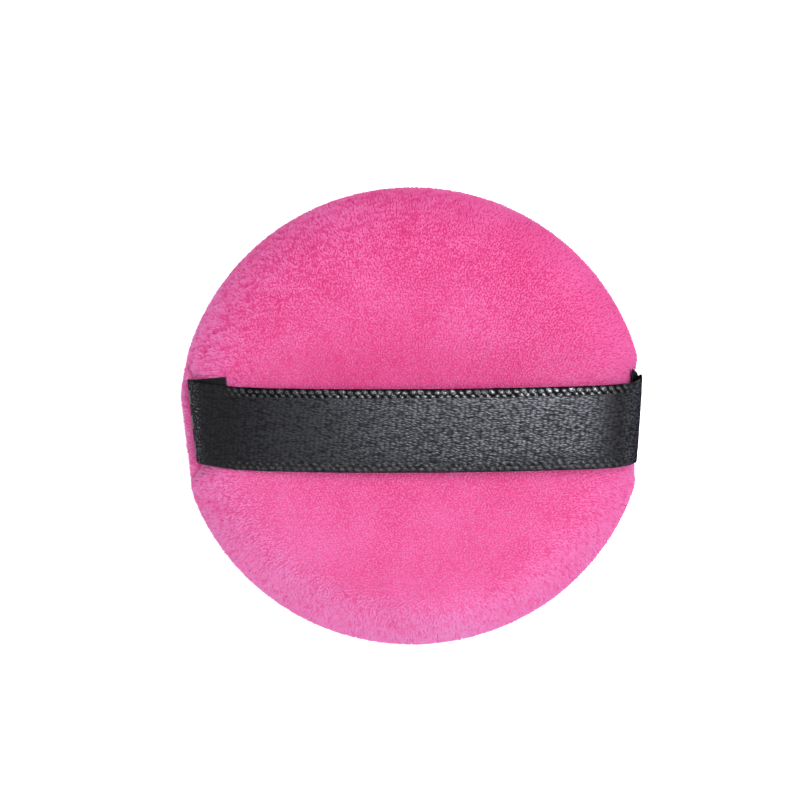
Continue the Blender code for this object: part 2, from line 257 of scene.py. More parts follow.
def noise(tree, place, scale, detail, roughness=0.5):
    inputs = {"Vector": place, "Scale": scale, "Detail": detail, "Roughness": roughness}
    return addNode(tree, "TexNoise", inputs).outputs["Fac"]


def addBump(tree, shader, height, strength, distance):
    node = addNode(tree, "Bump", {"Height": height, "Strength": strength, "Distance": distance})
    feed(tree, shader, "Normal", node.outputs[0])


velour = {
    "colours": [(0.0, (0.76, 0.050, 0.25)), (0.2, (0.84, 0.095, 0.33)), (0.4, (0.90, 0.165, 0.46)),
                (0.6, (0.91, 0.25, 0.59)), (1.0, (0.88, 0.36, 0.68))],  # from painted shade deep in the pile to the palest tips, partly painted sheen
    "toneFrom": -0.45,  # what the deepest colour stands for on the pile's scale, where a tuft runs from 0 to 1
    "toneScale": 0.4,
    "paintedSheenWay": (-0.33, -1.0, 0),  # painted sheen makes the pile paler this way
    "rimSheenWay": (-1.0, 0.15, 0),  # and painted sheen makes the rim paler on this side
    "rimSheenSide": (20 * mm, 38 * mm),
    "rimSheenRing": (37.5 * mm, 41 * mm),
    "group": {"Patch Scale": 75,  # where the pile was brushed another way, patches per metre
              "Patch Change": 0.9, "Painted Sheen Change": 9.0, "Rim Sheen Change": 0.3},  # the painted sheen's change is for each metre
    "shader": {"Roughness": 0.85, "Specular IOR Level": 0.2, "Sheen Weight": 0.15, "Sheen Roughness": 0.35,
               "Sheen Tint": (1.0, 0.52, 0.76, 1.0)},
}


def pileColour():
    # Group: colour of the pile from its place on a tuft, with painted shade deep in it, the brushed patches, and
    # painted sheen towards -Y and on the left rim.
    group = bpy.data.node_groups.new("pileColour", "ShaderNodeTree")
    for word in ("Along", *velour["group"]):
        group.interface.new_socket(word, in_out="INPUT", socket_type="NodeSocketFloat")
    group.interface.new_socket("Color", in_out="OUTPUT", socket_type="NodeSocketColor")
    start = group.nodes.new("NodeGroupInput").outputs
    end = group.nodes.new("NodeGroupOutput")
    place = addNode(group, "TexCoord").outputs["Object"]
    patch = noise(group, place, start["Patch Scale"], 2.0, 0.6)
    brushed = times(group, calculate(group, "SUBTRACT", patch, 0.5), start["Patch Change"])
    # Painted sheen: the pile is made paler towards -Y and a little towards -X.
    paintedSheen = times(group, vectorMath(group, "DOT_PRODUCT", place, velour["paintedSheenWay"]), start["Painted Sheen Change"])
    flat = vectorMath(group, "MULTIPLY", place, (1, 1, 0), "Vector")
    # Painted sheen: the rim is made paler on the left side.
    nearRim = mapRange(group, vectorMath(group, "LENGTH", flat, (0, 0, 0)), *velour["rimSheenRing"])
    onSide = mapRange(group, vectorMath(group, "DOT_PRODUCT", place, velour["rimSheenWay"]), *velour["rimSheenSide"])
    rim = times(group, times(group, nearRim, onSide), start["Rim Sheen Change"])
    total = start["Along"]
    for more in (rim, brushed, paintedSheen):
        total = calculate(group, "ADD", total, more)
    tone = times(group, calculate(group, "SUBTRACT", total, velour["toneFrom"]), velour["toneScale"])
    feed(group, end, "Color", ramp(group, tone, velour["colours"]))
    return group


pileGroup = pileColour()


def velourMaterial(name, along):
    # along is None where the tuft attribute gives it, or a number on the cloth under the pile: 0 gives the cloth the
    # deep colour of painted shade.
    made, tree, shader = newMaterial(name, velour["shader"])
    inputs = {"Along": attribute(tree, "along") if along is None else along, **velour["group"]}
    group = addNode(tree, "Group", inputs, node_tree=pileGroup)
    feed(tree, shader, "Base Color", group.outputs["Color"])
    return made


satin = {
    "dark": (0.022, 0.022, 0.025),  # these are reflectances: black satin is all shine
    "light": (0.100, 0.102, 0.115),
    "gap": (0.006, 0.006, 0.007),  # painted shade between the slubs of the selvedge
    "slub": (0.30, 0.305, 0.33),
    "glint": (0.30, 0.30, 0.29),  # painted glints: pale specks on the left fold
    "roughness": 0.30,
    "gapRoughness": 0.6,
    "floatLength": 0.8 * mm,
    "floatWidth": 0.24 * mm,
    "slant": 7 * degree,
    "randomness": 0.65,
    "reach": 0.88,  # height in a float's middle, where each step of a cell away from it takes off 1
    "wave": 0.2,  # and what is added to it in places
    "waveScale": 0.45,
    "heights": (0.22, 0.8),  # of the dark and of the light colour
    "relief": 0.055 * mm,
    "pressedAndShaded": 0.72,  # how much fainter the floats are on the ends, where they are pressed flat and given painted shade
    "fibreScale": 3600,  # fibres per metre that fleck the slubs
    "slubFibres": (0.42, 0.57),
    "glintFibres": (0.6, 0.66),
}


def satinMaterial():
    # Floats lie along the ribbon on its own cloth coordinates as drawn-out Voronoi cells: each is pale and smooth
    # in its middle, dark and dull at its edge, and fainter where the ends are pressed flat and given painted shade.
    # On the selvedge the slubs are pale and the gaps black with painted shade; pale specks on the left fold are
    # painted glints.
    made, tree, shader = newMaterial("satin_ribbon", {"Metallic": 1.0, "Specular Tint": (0.3, 0.3, 0.32, 1.0)})
    cloth = attribute(tree, "cloth", "Vector")
    slub, selvedge, pressedAndShaded, fold = (attribute(tree, word) for word in ("slub", "selvedge", "pressedAndShaded", "fold"))
    fibres = noise(tree, cloth, satin["fibreScale"], 1.0)
    slub = times(tree, slub, greyRamp(tree, fibres, *satin["slubFibres"], 0.15))
    # The ends lose relief where they are pressed flat, and their floats' paleness as painted shade.
    relief = calculate(tree, "SUBTRACT", 1.0, times(tree, pressedAndShaded, satin["pressedAndShaded"]))
    scale = (1 / satin["floatLength"], 1 / satin["floatWidth"], 1000)
    turned = addNode(tree, "Mapping", {"Vector": cloth, "Rotation": (0, 0, satin["slant"])}).outputs[0]
    stretched = addNode(tree, "Mapping", {"Vector": turned, "Scale": scale}).outputs[0]
    cell = addNode(tree, "TexVoronoi", {"Vector": stretched, "Scale": 1.0,
                                                  "Randomness": satin["randomness"]}).outputs[0]
    wavy = times(tree, noise(tree, stretched, satin["waveScale"], 2.0), satin["wave"])
    rounded = calculate(tree, "SUBTRACT", calculate(tree, "ADD", wavy, satin["reach"]), cell)
    clear = times(tree, greyRamp(tree, rounded, *satin["heights"]), relief)
    rounded = times(tree, rounded, relief)
    colour = mixColour(tree, clear, satin["dark"], satin["light"])
    # Painted shade: the selvedge's gaps between the slubs are near black.
    colour = mixColour(tree, selvedge, colour, satin["gap"])
    colour = mixColour(tree, slub, colour, satin["slub"])
    # Painted glints: pale specks near the left fold.
    glints = times(tree, greyRamp(tree, fibres, *satin["glintFibres"]), fold)
    feed(tree, shader, "Base Color", mixColour(tree, glints, colour, satin["glint"]))
    shine = times(tree, clear, calculate(tree, "SUBTRACT", 1.0, selvedge))
    shine = calculate(tree, "MAXIMUM", shine, slub)
    feed(tree, shader, "Roughness", mapRange(tree, shine, 0.0, 1.0, satin["gapRoughness"], satin["roughness"]))
    addBump(tree, shader, rounded, 1.0, satin["relief"])
    return made


def threadMaterial(name, dark, light, roughness):
    # Plies run round the thread as slanted bands, darker in the grooves between them as painted shade and paler on
    # their crests.
    made, tree, shader = newMaterial(name, {"Roughness": roughness, "Sheen Weight": 0.15})
    fuzz = noise(tree, addNode(tree, "TexCoord").outputs["Object"], 6000, 2.0)
    total = calculate(tree, "ADD", attribute(tree, "ply"), times(tree, fuzz, 0.4))
    feed(tree, shader, "Base Color", ramp(tree, total, [(0.2, dark), (1.1, light)]))
    addBump(tree, shader, fuzz, 0.4, 0.03 * mm)
    return made


def foamMaterial():
    # Open cells: a Voronoi pattern darkens the pores between pale walls, painted shade in the hollows.
    made, tree, shader = newMaterial("foam", {"Roughness": 0.95})
    place = addNode(tree, "TexCoord").outputs["Object"]
    cell = addNode(tree, "TexVoronoi", {"Vector": place, "Scale": 2200.0}).outputs["Distance"]
    feed(tree, shader, "Base Color", ramp(tree, cell, [(0.1, (0.55, 0.5, 0.42)), (0.6, (0.92, 0.9, 0.84))]))
    addBump(tree, shader, cell, 0.8, 0.2 * mm)
    return made


pileFinish = velourMaterial("velour_pile", None)
clothFinish = velourMaterial("velour_cloth", 0.0)
satinFinish = satinMaterial()
pinkThreadFinish = threadMaterial("pink_thread", (0.45, 0.03, 0.14), (0.9, 0.16, 0.4), 0.55)
blackThreadFinish = threadMaterial("black_thread", (0.008, 0.008, 0.009), (0.1, 0.1, 0.11), 0.35)
foamFinish = foamMaterial()
print("materials made")


# Outline and panels

def wrapped(angle):
    # The same angle from -pi to pi.
    return (angle + math.pi) % (2 * math.pi) - math.pi


def heldOutline(angle, depth, held):
    # The round outline less the depth, mean radius + ovalness * cos(2 angle) - depth, drawn in to a straight line
    # along each strap end's fold by a share of 1 / (1 + (angle from the strap / hold angle) ^ hold power).
    radius = puff["meanRadius"] + puff["ovalness"] * np.cos(2 * angle) - depth
    for side in (-1, 1):
        heldAt, lean = held[side]
        normal = unit(np.array((side, -lean)))
        distance = normal @ (side * heldAt, puff["strapEnd"][side])
        fromNormal = np.abs(wrapped(angle - math.atan2(normal[1], normal[0])))
        across = distance / np.cos(np.minimum(fromNormal, 45 * degree))
        strapAngle = math.atan2(puff["strapEnd"][side], side * puff["meanRadius"])
        grip = 1 / (1 + (np.abs(wrapped(angle - strapAngle)) / held["angle"]) ** puff["holdPower"])
        radius = radius + grip * np.minimum(across - radius, 0)
    return radius


def rimRadius(angle, panel):
    # The widest ring of a panel.
    return heldOutline(angle, 0, panel["held"])


def creaseRadius(angle):
    # The ring where the panels meet.
    return heldOutline(angle, puff["creaseDepth"], puff["creaseHeld"])


def foldRadius(angle, panel):
    # Where a panel's cloth turns in at the seam: at the wall's inside or the crease less the lap, whichever is
    # nearer the axis, less the gap.
    return np.minimum(rimRadius(angle, panel) - puff["wall"], creaseRadius(angle) - puff["lap"]) - puff["gap"]


def panelProfile(panel, radius, crease, place):
    # From the axis to the seam: a superellipse up to place 1, then a quarter of an ellipse from the widest ring
    # in to the crease up to place 2. Gives the distance from the axis and the height over the seam plane.
    turn = np.clip(place, 0, 1) * 90 * degree
    bend = np.clip(place - 1, 0, 1) * 90 * degree
    out = radius * np.sin(turn) ** (2 / panel["squareness"]) - (radius - crease) * (1 - np.cos(bend))
    up = np.minimum(panel["reach"] * np.cos(turn), panel["floor"]) + puff["rimHeight"] * (1 - np.sin(bend))
    return out, up


def placeTable(panel):
    # The place on the profile for even steps of its length, and that length.
    place = np.linspace(0, 2, 4001)
    radius = puff["meanRadius"]
    profile = panelProfile(panel, radius, radius - puff["creaseDepth"], place)
    return runLength(joined(*profile)), place


def panelPoint(panel, angle, share):
    # A point on the panel's outside: share is how far along the profile's length it lies.
    length, place = panel["table"]
    place = np.interp(share * length[-1], length, place)
    out, up = panelProfile(panel, rimRadius(angle, panel), creaseRadius(angle), place)
    return fromAxis(out, angle, puff["seamHeight"] + panel["side"] * up)


def panelAxes(panel, angle, share):
    # Unit vectors away from the axis, round it, and square off the surface, from small steps on it.
    step = 2e-4
    share = np.clip(share, 2 * step, 1 - 2 * step)
    away = unit(panelPoint(panel, angle, share + step) - panelPoint(panel, angle, share - step))
    around = unit(panelPoint(panel, angle + step, share) - panelPoint(panel, angle - step, share))
    normal = unit(np.cross(away, around)) * panel["side"]
    return away, around, normal


for panel in (backPanel, facePanel):
    panel["table"] = placeTable(panel)

pile = {
    "height": 0.6 * mm,  # the cloth lies this far under the solid's surface, which the tips reach
    "length": 0.66 * mm,
    "width": 0.3 * mm,
    "pitch": (0.27 * mm, 0.34 * mm),  # sizes like this one are across and along the nap
    "jitter": 0.5,
    "rootRise": 72 * degree,
    "tipRise": 46 * degree,
    "napAngle": 90 * degree,  # the way the pile lies, on the flat cloth
    "napSpread": 24 * degree,
    "napPatch": (9 * mm, 9 * mm),
    "rimNap": {1: (0.62, 0.86, 0.0), -1: (0.8, 0.9, math.pi)},  # from and to these shares it turns out or in
    "clump": (0.58 * mm, 0.64 * mm),
    "clumpPull": 0.8,  # how far the tips of a clump come together
    "pullFade": (0.6, 0.82, 0.8),  # from and to these shares it loses this much
    "tones": (0, 0, 0, 0.62, 0.62, 0.62, 1.0),  # of a tuft's root, middle and tip: the root's is painted shade deep in the pile, and the tip's is partly painted sheen
    "evenTone": 0.55,
    "rimEven": 0.45,  # how near a tuft's tones come to that one on the rim
    "rimFrom": (0.72, 0.86),
    "clumpShade": 0.14,  # painted shade: how much darker a clump's outer tufts are than its middle one, by the gaps between clumps
    "clumpChange": 0.16,
    "ownChange": 0.06,
    "fleckShade": 0.5,  # painted shade: how much darker the narrow gaps between brushed tufts are
    "fleckSize": (0.27 * mm, 0.62 * mm),
    "crown": 0.3,
    "softness": (0.7, 0.92),  # share of the panel's own normal in a tuft's shading, inside and on the rim
    "softFrom": (0.7, 0.85),
    "furrowShade": 0.75,  # painted shade of brushed furrows in the upper left, in tone
    "ridgeSize": (1.3 * mm, 0.36 * mm),
    "ridgeAngle": 140 * degree,
    "ridgeTurn": 12 * degree,
    "smoothAngle": 45 * degree,  # where the rim was brushed smooth
    "smoothing": 0.7,
    "palePatch": (18 * mm, 11 * mm, 12 * mm, 0.28),  # on the back panel: its middle, its radius and how much paler
    "seamFade": (0.965, 1.0),  # along the profile, where the pile sinks into the seam
    "seamLip": 0.02 * mm,
    "floorGap": 0.02 * mm,  # under the lowest tufts
    "coverCells": 230,
    "innerRings": 5,
}


def cover(name, panel):
    # The cloth under the pile. Outside, a square grid whose rings are circles: for |u| > |v| a point has radius u
    # and angle 45 v / u degrees. Inside, rings run in along the seam allowance and back to the axis.
    cells = pile["coverCells"]
    line = np.linspace(-1, 1, cells + 1)
    u, v = np.meshgrid(line, line, indexing="xy")
    share = np.maximum(np.abs(u), np.abs(v))
    safe = np.where(share == 0, 1, share)
    wide = np.abs(u) >= np.abs(v)
    upright = np.sign(v) * (90 - 45 * u / safe) * degree
    angle = np.where(wide, 45 * degree * v / safe * np.sign(u), upright)
    angle = np.where(wide & (u < 0), angle + math.pi, angle)
    points = panelPoint(panel, angle, share)
    away, around, normal = panelAxes(panel, angle, share)
    normal[share < 0.01] = (0, 0, panel["side"])
    sunk = pile["height"] * (1 - smoothStep(*pile["seamFade"], share))
    points = points - normal * sunk[..., None]
    points[..., 2] += panel["side"] * pile["seamLip"] * smoothStep(0.97, 1.0, share)
    outer = points.reshape(-1, 3)
    quads = gridQuads(cells + 1, cells + 1)
    number = np.arange((cells + 1) ** 2).reshape(cells + 1, cells + 1)
    edge = np.concatenate([number[0, :-1], number[:-1, -1], number[-1, :0:-1], number[:0:-1, 0]])
    rim = outer[edge]
    rimAngle = np.arctan2(rim[:, 1], rim[:, 0])
    rimOut = np.hypot(rim[:, 0], rim[:, 1])
    lapEnd = rimOut - puff["lapDepth"]
    wallOut = foldRadius(rimAngle, panel)
    seam = puff["seamHeight"]
    side = panel["side"]
    lapLevel = np.full(len(rim), seam + side * puff["lap"])
    rings = [(lapEnd, rim[:, 2]), (lapEnd, lapLevel), (wallOut, lapLevel)]
    for turn in np.linspace(80, 15, pile["innerRings"]):
        out, up = panelProfile(panel, wallOut + 0.1 * mm, wallOut, np.full(len(rim), turn / 90))
        rings.append((out * 0.985, seam + side * (up - puff["wall"])))
    inner = [fromAxis(out, rimAngle, height) for out, height in rings]
    pole = np.array([[0, 0, inner[-1][:, 2].mean()]])
    allPoints = np.concatenate([outer, *inner, pole])
    count = len(edge)
    ringNumbers = [edge] + [len(outer) + ring * count + np.arange(count) for ring in range(len(inner))]
    innerQuads = [joined(a, np.roll(a, -1), np.roll(b, -1), b)[:, ::-1]
                  for a, b in zip(ringNumbers, ringNumbers[1:])]
    last = ringNumbers[-1]
    triangles = joined(last, np.full(count, len(allPoints) - 1), np.roll(last, -1))
    uvOuter = joined((u.ravel() + 1) / 2, (v.ravel() + 1) / 2 * 0.8)
    column = np.arange(count) / count
    after = column + 1 / count

    def uvCorners(*corners):
        return np.stack([joined(x, np.full(count, level)) for x, level in corners], axis=1)

    levels = 0.82 + 0.15 * np.arange(len(inner) + 1) / len(inner)
    uvRings = [uvCorners((column, high), (after, high), (after, low), (column, low))
               for low, high in zip(levels, levels[1:])]
    uvFan = uvCorners((column, 0.975), (column, 0.995), (after, 0.975))
    allQuads = np.concatenate([quads, *innerQuads])
    quadUv = np.concatenate([uvOuter[quads], *uvRings])
    if side < 0:
        allQuads, triangles = allQuads[:, ::-1], triangles[:, ::-1]
        quadUv, uvFan = quadUv[:, ::-1], uvFan[:, ::-1]
    return makePiece(name, allPoints, allQuads, triangles, quadUv, uvFan)


def tufts(name, panel, lowShare, highShare, seed):
    # Leaf-shaped tufts on a jittered grid of the flat cloth. Each half of one runs length / 2 along
    # forward * cos(rise) + normal * sin(rise), with a lower rise towards the tip, and its middle is crowned.
    random = np.random.default_rng(seed)
    reach = panel["table"][0][-1]
    (pitchA, pitchB), (clumpA, clumpB) = pile["pitch"], pile["clump"]
    a, b = np.meshgrid(np.arange(-reach, reach, pitchA), np.arange(-reach, reach, pitchB), indexing="ij")
    b = b + (np.arange(len(b)) % 2)[:, None] * pitchB / 2
    a = a.ravel() + random.uniform(-1, 1, a.size) * pile["jitter"] * pitchA
    b = b.ravel() + random.uniform(-1, 1, b.size) * pile["jitter"] * pitchB
    share = np.hypot(a, b) / reach
    kept = (share >= lowShare) & (share < highShare)
    a, b, share = a[kept], b[kept], share[kept]
    angle = np.arctan2(b, a)
    count = len(a)
    away, around, normal = panelAxes(panel, angle, share)
    rim = 1 - smoothStep(*pile["seamFade"], share)
    root = panelPoint(panel, angle, share) - normal * (pile["height"] * rim)[:, None]
    cellB = np.floor(b / clumpB).astype(int)
    cellA = np.floor(a / clumpA + 0.5 * (cellB % 2)).astype(int)
    table = random.uniform(-1, 1, (3, 256, 256))
    wanderA, wanderB, clump = table[:, cellA % 256, cellB % 256]
    centreA = (cellA + 0.5 - 0.5 * (cellB % 2) + 0.25 * wanderA) * clumpA
    centreB = (cellB + 0.5 + 0.25 * wanderB) * clumpB
    patch = valueNoise(a, b, pile["napPatch"], seed + 3)
    nap = pile["napAngle"] + pile["napSpread"] * (0.45 * random.normal(size=count) + 0.5 * wanderA + 0.8 * patch)
    pullFrom, pullTo, lost = pile["pullFade"]
    pull = pile["clumpPull"] / pile["length"] * (1 - lost * smoothStep(pullFrom, pullTo, share))
    turnFrom, turnTo, downRim = pile["rimNap"][panel["side"]]
    nap = nap + smoothStep(turnFrom, turnTo, share) * wrapped(angle + downRim - nap)
    flatX = np.cos(nap) + pull * (centreA - a)
    flatY = np.sin(nap) + pull * (centreB - b)
    forward = unit(away * (flatX * np.cos(angle) + flatY * np.sin(angle))[:, None]
                   + around * (-flatX * np.sin(angle) + flatY * np.cos(angle))[:, None])
    sideways = unit(np.cross(forward, normal))
    length = pile["length"] * (0.3 + 0.7 * rim) * random.uniform(0.85, 1.15, count)
    lift = random.uniform(0.9, 1.1, count) * (1 + 0.15 * clump + 0.1 * patch) * (0.5 + 0.5 * rim)
    rootRise, tipRise = pile["rootRise"] * lift, pile["tipRise"] * lift
    width = pile["width"] * random.uniform(0.8, 1.2, count)

    def ahead(rise):
        return forward * np.cos(rise)[:, None] + normal * np.sin(rise)[:, None]

    middle = root + ahead(rootRise) * (0.5 * length)[:, None]
    tip = middle + ahead(tipRise) * (0.5 * length)[:, None]
    half = sideways * (width / 2)[:, None]
    top = np.cross(sideways, ahead(rootRise)) * (pile["crown"] * width)[:, None]
    stations = np.stack([root - half * 0.7, root + top * 0.7, root + half * 0.7,
                         middle - half, middle + top, middle + half, tip], axis=1)
    if panel["side"] < 0:
        stations[..., 2] = np.maximum(stations[..., 2], pile["floorGap"])
    first = (np.arange(count) * 7)[:, None]
    quads = np.concatenate([first + [0, 1, 4, 3], first + [1, 2, 5, 4]])
    triangles = np.concatenate([first + [3, 4, 6], first + [4, 5, 6]])
    cells = int(math.ceil(math.sqrt(count)))
    cellX, cellY = (np.arange(count) % cells) / cells, (np.arange(count) // cells) / cells
    spots = np.array([(x, y) for y in (0.08, 0.55) for x in (0.1, 0.5, 0.9)] + [(0.5, 0.92)])
    uv = joined(cellX, cellY)[:, None] + spots / cells
    quadUv = np.concatenate([uv[:, [0, 1, 4, 3]], uv[:, [1, 2, 5, 4]]])
    triangleUv = np.concatenate([uv[:, [3, 4, 6]], uv[:, [4, 5, 6]]])
    # Painted shade: tufts are darker away from their clump's middle and in the flecked gaps between tufts.
    fromCentre = np.hypot((centreA - a) / clumpA, (centreB - b) / clumpB)
    shaded = pile["clumpShade"] * np.minimum(2 * fromCentre, 1.2) ** 2
    flecks = valueNoise(a, b, pile["fleckSize"], seed + 7)
    shaded = shaded + pile["fleckShade"] * (np.clip((flecks - 0.3) / 0.4, 0, 1) - 0.12)
    own = random.uniform(-1, 1, count) * pile["ownChange"] + pile["clumpChange"] * clump - shaded
    nearRim = smoothStep(*pile["rimFrom"], share)
    ridged = smoothStep(0.4, 0.8, share) * smoothStep(0.2, 0.7, np.cos(angle - pile["ridgeAngle"]))
    smoothed = nearRim * smoothStep(0.3, 0.7, np.cos(angle - pile["smoothAngle"]))
    sine, cosine = math.sin(pile["ridgeTurn"]), math.cos(pile["ridgeTurn"])
    ridges = valueNoise(a * cosine + b * sine, b * cosine - a * sine, pile["ridgeSize"], seed + 5)
    patchA, patchB, patchRadius, paler = pile["palePatch"]
    if panel["side"] > 0:
        own = own + paler * np.exp(-((a - patchA) ** 2 + (b - patchB) ** 2) / patchRadius ** 2)
    # Painted shade darkens the furrows in the upper left.
    own = own * (1 - pile["smoothing"] * smoothed) + pile["furrowShade"] * ridged * (0.15 - np.clip(ridges, 0, 1))
    even = (pile["rimEven"] * nearRim)[:, None]
    alongTuft = np.array(pile["tones"]) * (1 - even) + pile["evenTone"] * even + own[:, None]
    made = makePiece(name, stations.reshape(-1, 3), quads, triangles, quadUv, triangleUv,
                     {"along": alongTuft.ravel()})
    shape = unit(np.cross(sideways, ahead((rootRise + tipRise) / 2)))
    leaning = np.array([-0.5, 0, 0.5, -0.5, 0, 0.5, 0])[None, :, None] * sideways[:, None]
    inside, onRim = pile["softness"]
    soft = (inside + (onRim - inside) * smoothStep(*pile["softFrom"], share))[:, None, None]
    normals = unit(soft * normal[:, None] + (1 - soft) * unit(shape[:, None] + leaning))
    made.data.normals_split_custom_set_from_vertices(normals.reshape(-1, 3))
    return made


backCloth = finish(cover("velour_back", backPanel), "puff", "velour", clothFinish, "back_cover")
faceCloth = finish(cover("velour_face", facePanel), "puff", "velour", clothFinish, "face_cover")
print("velour panels made")

for side, panel in (("back", backPanel), ("face", facePanel)):
    for zone, low, high in (("crown", 0, 0.6), ("shoulder", 0.6, 0.83), ("edge", 0.83, 1)):
        made = finish(tufts("pile_" + side + "_" + zone, panel, low, high, 11), "puff", "velour", pileFinish)
        print(made.name, sum(len(face.vertices) - 2 for face in made.data.polygons), "triangles")

# Ribbon

ribbon = {
    "width": 14.4 * mm,
    "tailLift": 0.48 * mm,
    "strapLift": 1.14 * mm,
    "foldDrop": 0.6 * mm,
    "arch": [(-28.5, 15.9), (-24, 17.6), (-15, 19.4), (-5, 20.35), (8, 20.7), (20, 20.5), (29, 19.85), (34, 18.7),
             (37.2, 16.6), (38.9, 13.9)],  # X and Z of the middle line, mm
    "askew": [(-38, -0.31), (-30, -0.7), (-20, -0.5), (6, -0.25), (33, 0.2), (40, 0.3)],  # X and Y, mm
    "tail": {-1: [(49.5, 0.0), (57, 0.0), (68, 0.0), (79, 0.0), (90, 0.0)],
             1: [(72, 0.45), (78, 0.25), (84, 0.08), (90, 0.0)]},
    "tailTurn": {-1: 0.13, 1: 0.48},  # shift along Y for each unit of its length
    # As in the tail, degrees down from the top and mm of more lift.
    "shoulder": {-1: [(90, 0.0), (80, 0.0), (70, 0.0), (60, 0.0)], 1: [(78, 0.9), (90, 0.02)]},
    "leanFades": 6.0 * mm,
    "step": 0.155 * mm,
    "selvedge": 1.9 * mm,
    "slubPitch": 1.35 * mm,
    "slubRows": ((0.6 * mm, 0.46 * mm, 0.31 * mm), (1.3 * mm, 0.36 * mm, 0.22 * mm)),  # inset, half length and width
    "slubHeight": 0.05 * mm,
    "lowerSlubShade": 0.45,  # painted shade: those of the edge at -Y, turned from the light, reflect less, and their gaps are less black
    "selvedgeFades": ((-0.3 * mm, 0.1 * mm), (0.2 * mm, 0.5 * mm)),  # of its thickness and colour, from the satin
    "flare": 0.45 * mm,  # the upper edge spreads where the strap drops to the right fold
    "flareFold": 1.5 * mm,  # so near the fold it ends
    "flareHeights": (13 * mm, 17 * mm),  # whole under the first, none over the second
    "slubFade": ((8 * mm, 15 * mm), (8 * mm, 13 * mm)),  # distances along the strap from the left and right folds
    "pressShadeFade": ((9 * mm, 24 * mm), (4.2 * mm, 6.6 * mm)),
    "pressShadeSlant": 0.25,  # the right fold's pressed stretch, with its painted shade, is longer towards the lower edge
    "foldFade": (0.8 * mm, 2.2 * mm),  # distances along X from the left fold, where the painted glints stand
    "satinHalf": 0.14 * mm,  # half the thickness
    "selvedgeHalf": 0.1 * mm,
    "weave": 0.008 * mm,  # height of its uneven places
    "weaveSize": (0.7 * mm, 0.45 * mm),
    "crown": 0.35 * mm,  # the middle of the ribbon stands this far over its edges, away from the folds
    "crownPower": 3,
    "crownFrom": (14 * mm, 20 * mm),
}


def onShoulder(places, lift, side):
    # Points lifted square off the back panel's superellipse under a strap end: at turn t the distance from the
    # axis is held distance * sin(t) ^ (2 / squareness) and the height reach * cos(t). Each place is t and more lift.
    degrees, extra = np.array(places).T
    turn = degrees * degree
    heldAt = backPanel["held"][side][0]
    power = 2 / backPanel["squareness"]
    reach = backPanel["reach"]
    out = heldAt * np.sin(turn) ** power
    slope = heldAt * power * np.sin(turn) ** (power - 1) * np.cos(turn)
    normal = unit(joined(reach * np.sin(turn), slope))
    points = joined(out, rimLevel + reach * np.cos(turn))
    points = points + normal * (lift + extra * mm)[:, None]
    return points * (side, 1)


def smoothPath(points, steps):
    # Catmull-Rom curve through the points: half of 2 b + (c - a) t + (2 a - 5 b + 4 c - d) t^2
    # + (3 b - a - 3 c + d) t^3 between b and c.
    points = np.array(points)
    padded = np.vstack([2 * points[0] - points[1], points, 2 * points[-1] - points[-2]])
    before, here, there, after = (padded[k:len(padded) - 3 + k, None] for k in range(4))
    t = (np.arange(steps) / steps)[None, :, None]
    curve = 0.5 * (2 * here + (there - before) * t + (2 * before - 5 * here + 4 * there - after) * t**2
                   + (3 * here - before - 3 * there + after) * t**3)
    return np.vstack([curve.reshape(-1, 2), points[-1:]])


def foldArc(side):
    # Half a circle from the folded-under layer to the strap.
    radius = (ribbon["strapLift"] - ribbon["tailLift"]) / 2
    middle = backPanel["held"][side][0] + (ribbon["strapLift"] + ribbon["tailLift"]) / 2
    height = rimLevel - ribbon["foldDrop"]
    turn = np.linspace(0, math.pi, 24)
    return joined(side * (middle - radius * np.cos(turn)), height - radius * np.sin(turn))


def ribbonLine():
    # Middle line from the left tail's cut end round both folds to the right one's, with each point's sideways
    # shift along X for a unit of width, its place along Y, and which stretch it belongs to (0 and 4 are the tails).
    arch = np.array(ribbon["arch"]) * mm
    strap = smoothPath(np.vstack([onShoulder(ribbon["shoulder"][-1], ribbon["strapLift"], -1), arch,
                                  onShoulder(ribbon["shoulder"][1], ribbon["strapLift"], 1)]), 24)
    askew = np.array(ribbon["askew"]) * mm
    stretches = {2: (strap, np.zeros(len(strap)), np.interp(strap[:, 0], askew[:, 0], askew[:, 1]))}
    for side in (-1, 1):
        lean = backPanel["held"][side][1]
        tail = smoothPath(onShoulder(ribbon["tail"][side], ribbon["tailLift"], side), 24)
        fold = foldArc(side)
        length = runLength(np.vstack([tail, fold[:1]]))
        toFold = length[-1] - length[:-1]
        end = puff["strapEnd"][side]
        near = strap[:, 0] * side > 0
        fade = np.minimum(np.abs(strap[near, 0] - fold[-1, 0]) / ribbon["leanFades"], 1)
        stretches[2][1][near] = -side * lean * (1 - fade)
        pieces = [(tail, np.full(len(tail), -side * lean), end + ribbon["tailTurn"][side] * toFold),
                  (fold, np.full(len(fold), -side * lean), np.full(len(fold), end))]
        for number, piece in zip((0, 1) if side < 0 else (4, 3), pieces):
            stretches[number] = tuple(part[::-side] for part in piece)
    line, skew, middle = (np.concatenate([stretches[number][part] for number in range(5)]) for part in range(3))
    length = runLength(line)
    kept = np.concatenate([[True], np.diff(length) > 1e-9])
    folds = [length[len(stretches[0][0])], length[-1 - len(stretches[4][0])]]
    even = np.linspace(0, length[-1], int(length[-1] / ribbon["step"]))
    found = [np.interp(even, length[kept], values[kept]) for values in (line[:, 0], line[:, 1], skew, middle)]
    return joined(*found[:2]), *found[2:], even, folds


def offFolds(along, folds, fades, more=0):
    # 1 between the folds and 0 at them, by a smooth step over each fade's distances. more is added on the right.
    left, right = fades
    return smoothStep(*left, along - folds[0]) * smoothStep(*right, folds[1] - along + more)


